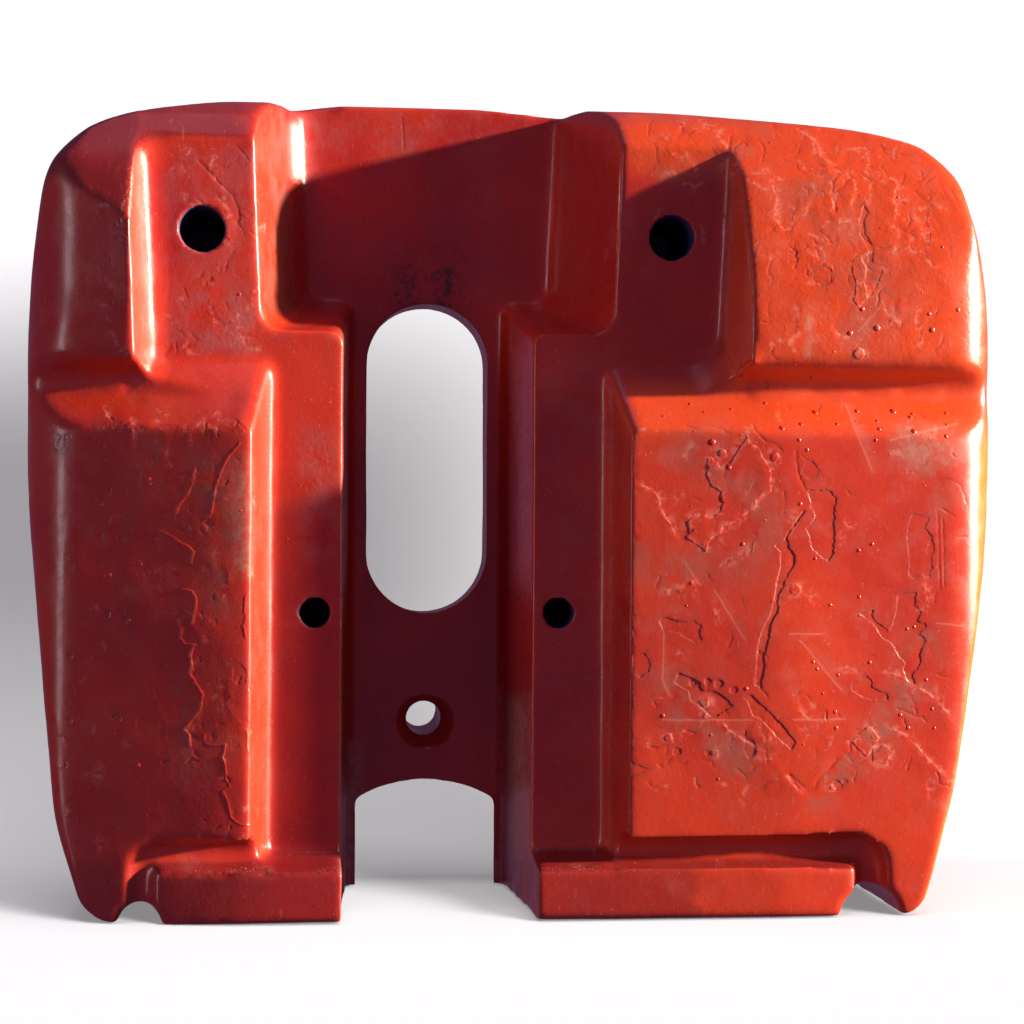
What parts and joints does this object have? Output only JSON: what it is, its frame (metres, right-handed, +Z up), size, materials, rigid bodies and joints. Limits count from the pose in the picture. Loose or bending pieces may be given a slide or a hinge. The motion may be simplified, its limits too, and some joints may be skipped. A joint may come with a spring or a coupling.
{
  "type": "ballast weight",
  "caption": "One-piece cast ballast weight with bolt-on mounting pads, a deep T-shaped recess, an upright slot and two feet, in chipped orange-red paint.",
  "frame": {"origin": "centre of the bounding box at the base, on the ground the feet stand on", "axes": "+Z up, -Y towards the machine (the mounting side), +X towards the wider wing"},
  "size_m": [0.87, 0.275, 0.75],
  "materials": {
    "painted_iron": "glossy orange-red paint, chipped and scratched, over cast iron"
  },
  "bodies": {
    "root": {"ballast_weight": "painted_iron"}
  },
  "joints": []
}
